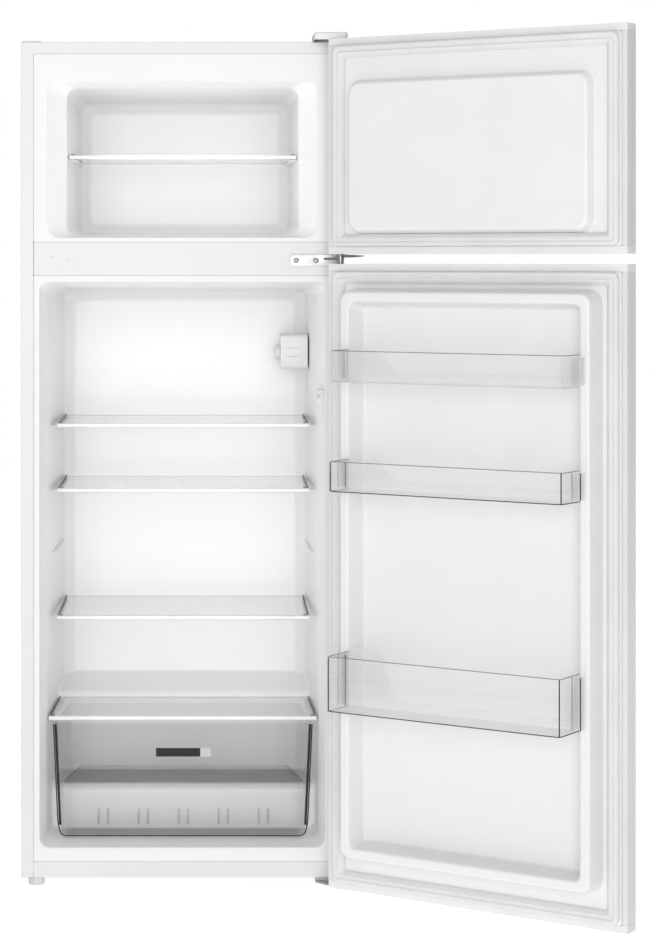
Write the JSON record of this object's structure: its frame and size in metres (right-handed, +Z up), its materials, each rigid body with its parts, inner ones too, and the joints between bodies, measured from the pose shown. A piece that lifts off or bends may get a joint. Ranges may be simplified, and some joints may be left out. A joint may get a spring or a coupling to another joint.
{
  "type": "top freezer refrigerator",
  "caption": "Upright refrigerator with a small freezer above, both doors open: glass shelves, crisper drawer, clear door bins, hinges, compressor and rear condenser.",
  "frame": {"origin": "on the floor, below the centre of the box round the appliance with its doors open", "axes": "+Z up, -Y out of the front of the cabinet, +X towards the hinge side"},
  "size_m": [0.9912, 0.9179, 1.4528],
  "materials": {
    "steel_white": "white paint, satin",
    "plastic_white": "white moulded plastic",
    "liner": "white vacuum-formed liner",
    "gasket": "soft grey-white magnetic seal",
    "glass": "clear float glass",
    "clear_plastic": "clear moulded plastic",
    "smoke_plastic": "smoky clear moulded plastic",
    "zinc": "zinc-plated steel",
    "back_sheet": "grey coated steel sheet",
    "black_paint": "black paint",
    "black_plastic": "black moulded plastic",
    "copper": "copper",
    "aluminium": "aluminium sheet",
    "foam": "rigid polyurethane foam",
    "foot_plastic": "light grey ribbed plastic",
    "lens": "milky lamp lens"
  },
  "bodies": {
    "cabinet": {"cabinet_shell": "steel_white", "mullion_strip": "steel_white", "bottom_rail": "steel_white", "freezer_liner": "liner", "fridge_liner": "liner", "cabinet_foam": "foam", "back_panel": "back_sheet", "compressor_bay_plate": "zinc", "compressor_support": "zinc", "compressor": "black_paint", "start_relay": "black_plastic", "drip_tray": "black_plastic", "drain_tube": "black_plastic", "condenser_coil": "black_paint", "filter_drier": "copper", "fridge_evaporator": "aluminium", "freezer_evaporator": "aluminium", "cord_gland": "black_plastic", "control_box": "plastic_white", "lamp_lens": "lens", "door_switch_body": "plastic_white", "top_hinge": "zinc", "top_hinge_cover": "plastic_white", "middle_hinge": "zinc", "bottom_hinge": "zinc", "shelf_1_glass": "glass", "shelf_1_trim": "plastic_white", "shelf_2_glass": "glass", "shelf_2_trim": "plastic_white", "shelf_3_glass": "glass", "shelf_3_trim": "plastic_white", "crisper_cover_glass": "glass", "crisper_cover_trim": "plastic_white", "freezer_shelf_glass": "glass", "freezer_shelf_trim": "plastic_white"},
    "freezer_door": {"freezer_door_skin": "steel_white", "freezer_door_top_cap": "plastic_white", "freezer_door_bottom_cap": "plastic_white", "freezer_door_foam": "foam", "freezer_door_liner": "liner", "freezer_door_gasket": "gasket", "freezer_door_grip": "plastic_white"},
    "fridge_door": {"fridge_door_skin": "steel_white", "fridge_door_top_cap": "plastic_white", "fridge_door_bottom_cap": "plastic_white", "fridge_door_foam": "foam", "fridge_door_liner": "liner", "fridge_door_gasket": "gasket", "fridge_door_grip": "plastic_white", "door_bin_top": "clear_plastic", "door_bin_middle": "clear_plastic", "door_bin_bottom": "clear_plastic"},
    "crisper": {"crisper_drawer": "smoke_plastic"},
    "thermostat": {"thermostat_knob": "plastic_white"},
    "switch_plunger": {"door_switch_plunger": "foot_plastic"},
    "foot_left": {"front_foot_left": "foot_plastic"},
    "foot_right": {"front_foot_right": "foot_plastic"},
    "roller_left": {"rear_roller_left": "black_plastic"},
    "roller_right": {"rear_roller_right": "black_plastic"}
  },
  "joints": [
    {"name": "freezer_door_hinge", "type": "hinge", "parent": "cabinet", "child": "freezer_door", "pos_m": [0.0464, -0.082, 1.26], "axis": [0, 0, 1], "range_deg": [-146, 9]},
    {"name": "fridge_door_hinge", "type": "hinge", "parent": "cabinet", "child": "fridge_door", "pos_m": [0.0464, -0.082, 0.54], "axis": [0, 0, 1], "range_deg": [-146, 9]},
    {"name": "crisper_slide", "type": "slide", "parent": "cabinet", "child": "crisper", "axis": [0, -1, 0], "range_m": [0, 0.19]},
    {"name": "thermostat_turn", "type": "hinge", "parent": "cabinet", "child": "thermostat", "pos_m": [-0.0526, 0.277, 0.9005], "axis": [-1, 0, 0], "range_deg": [0, 270]},
    {"name": "door_switch_press", "type": "slide", "parent": "cabinet", "child": "switch_plunger", "axis": [0, -1, 0], "range_m": [-0.004, 0], "stiffness_N_per_m": 150},
    {"name": "foot_left_turn", "type": "hinge", "parent": "cabinet", "child": "foot_left", "pos_m": [-0.4711, -0.009, 0.01], "axis": [0, 0, 1], "range_deg": [-180, 180]},
    {"name": "foot_right_turn", "type": "hinge", "parent": "cabinet", "child": "foot_right", "pos_m": [0.0299, -0.009, 0.01], "axis": [0, 0, 1], "range_deg": [-180, 180]},
    {"name": "roller_left_spin", "type": "hinge", "parent": "cabinet", "child": "roller_left", "pos_m": [-0.4566, 0.407, 0.0115], "axis": [1, 0, 0], "continuous": true},
    {"name": "roller_right_spin", "type": "hinge", "parent": "cabinet", "child": "roller_right", "pos_m": [0.0154, 0.407, 0.0115], "axis": [1, 0, 0], "continuous": true}
  ]
}
